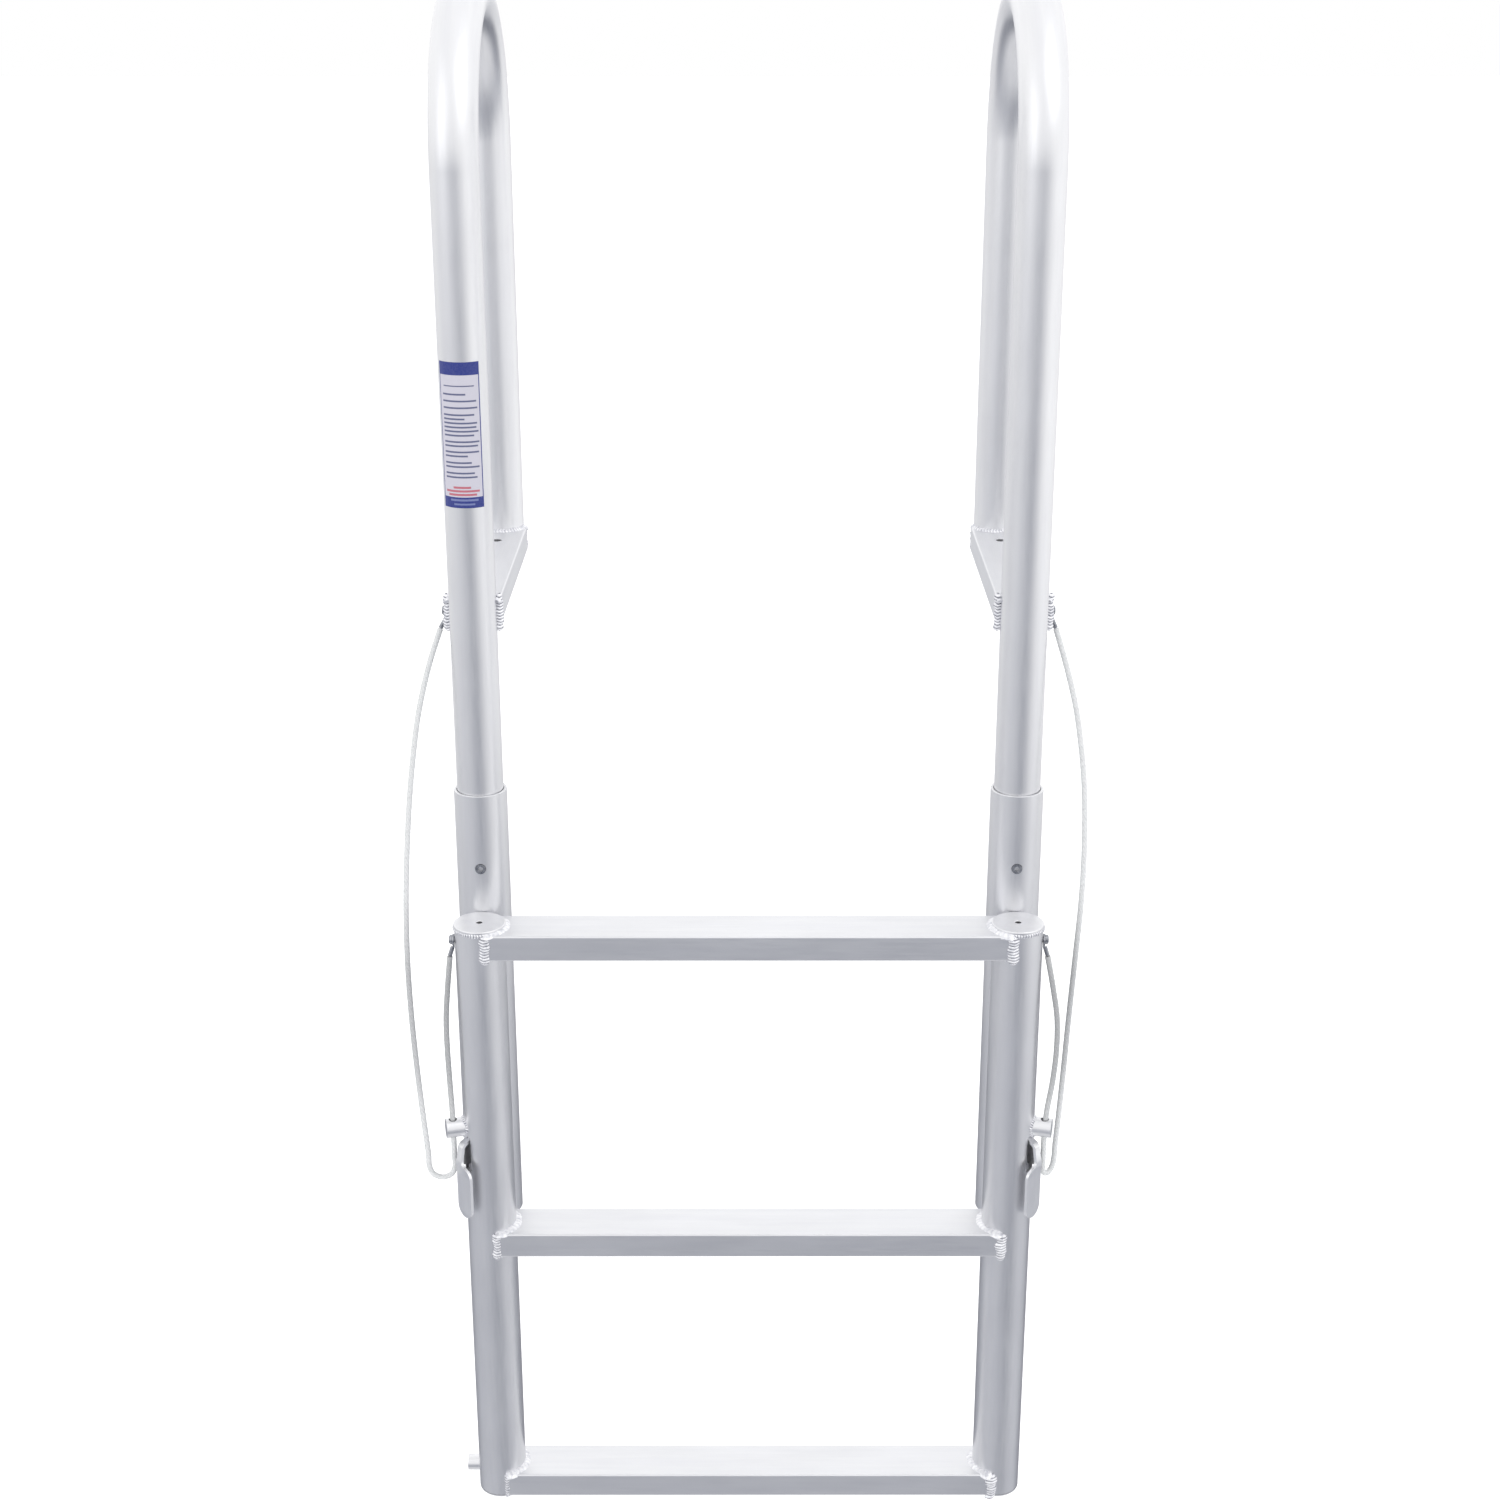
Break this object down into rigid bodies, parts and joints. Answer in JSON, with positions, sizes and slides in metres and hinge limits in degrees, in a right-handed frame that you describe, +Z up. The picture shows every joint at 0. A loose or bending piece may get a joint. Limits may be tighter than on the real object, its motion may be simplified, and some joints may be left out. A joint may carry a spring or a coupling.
{
  "type": "dock boarding ladder",
  "caption": "Lift-up dock boarding ladder: handrail hoops on deck brackets, guide sleeves, sliding rung section with side latches and pull lanyards.",
  "frame": {"origin": "on the deck surface, midway between the two deck brackets, in the plane of the hoops' front legs", "axes": "+Z up, -Y out over the water, +Y over the deck, +X to the right as seen from the water"},
  "size_m": [0.6592, 0.3874, 1.5007],
  "materials": {
    "tube": "clear anodised tube, fine drawn grain, satin",
    "bar": "mill finish rectangular bar, satin",
    "steel": "stainless fasteners",
    "plastic": "moulded end plug",
    "slide_plastic": "white slide plastic",
    "cable": "translucent vinyl skin over wire rope",
    "label": "printed vinyl sticker"
  },
  "bodies": {
    "deck_frame": {"handrail_hoop_left": "tube", "deck_bracket_left": "bar", "rear_leg_plug_left": "plastic", "guide_sleeve_left": "tube", "sleeve_set_screw_left": "steel", "guide_block_upper_left": "slide_plastic", "guide_bolt_upper_left": "steel", "guide_nut_upper_left": "steel", "guide_block_lower_left": "slide_plastic", "guide_bolt_lower_left": "steel", "guide_nut_lower_left": "steel", "bracket_lanyard_screw_left": "steel", "long_lanyard_lug_left": "steel", "long_lanyard_left": "cable", "handrail_hoop_right": "tube", "deck_bracket_right": "bar", "rear_leg_plug_right": "plastic", "guide_sleeve_right": "tube", "sleeve_set_screw_right": "steel", "guide_block_upper_right": "slide_plastic", "guide_bolt_upper_right": "steel", "guide_nut_upper_right": "steel", "guide_block_lower_right": "slide_plastic", "guide_bolt_lower_right": "steel", "guide_nut_lower_right": "steel", "bracket_lanyard_screw_right": "steel", "long_lanyard_lug_right": "steel", "long_lanyard_right": "cable", "instruction_label_left": "label"},
    "ladder": {"stile_left": "tube", "stile_cap_left": "tube", "stile_foot_cap_left": "tube", "latch_pin_left": "steel", "latch_spring_left": "steel", "lanyard_eye_left": "tube", "stile_lanyard_screw_left": "steel", "short_lanyard_lug_left": "steel", "short_lanyard_left": "cable", "stile_right": "tube", "stile_cap_right": "tube", "stile_foot_cap_right": "tube", "latch_pin_right": "steel", "latch_spring_right": "steel", "lanyard_eye_right": "tube", "stile_lanyard_screw_right": "steel", "short_lanyard_lug_right": "steel", "short_lanyard_right": "cable", "lower_stop_peg_left": "tube", "step_top": "bar", "step_middle": "bar", "step_bottom": "bar"},
    "latch_left": {"latch_lever_left": "bar"},
    "latch_right": {"latch_lever_right": "bar"}
  },
  "joints": [
    {"name": "ladder_lift", "type": "slide", "parent": "deck_frame", "child": "ladder", "axis": [0, 0, 1], "range_m": [0, 0.259], "deforming": ["long_lanyard_left", "long_lanyard_right"]},
    {"name": "latch_left_swing", "type": "hinge", "parent": "ladder", "child": "latch_left", "pos_m": [-0.27014, -0.06211, -0.499], "axis": [0.6428, -0.766, 0], "range_deg": [0, 4], "stiffness_Nm_per_rad": 0.1, "springref_deg": -11.46},
    {"name": "latch_right_swing", "type": "hinge", "parent": "ladder", "child": "latch_right", "pos_m": [0.27014, -0.06211, -0.499], "axis": [0.6428, 0.766, 0], "range_deg": [0, 4], "stiffness_Nm_per_rad": 0.1, "springref_deg": -11.46}
  ]
}
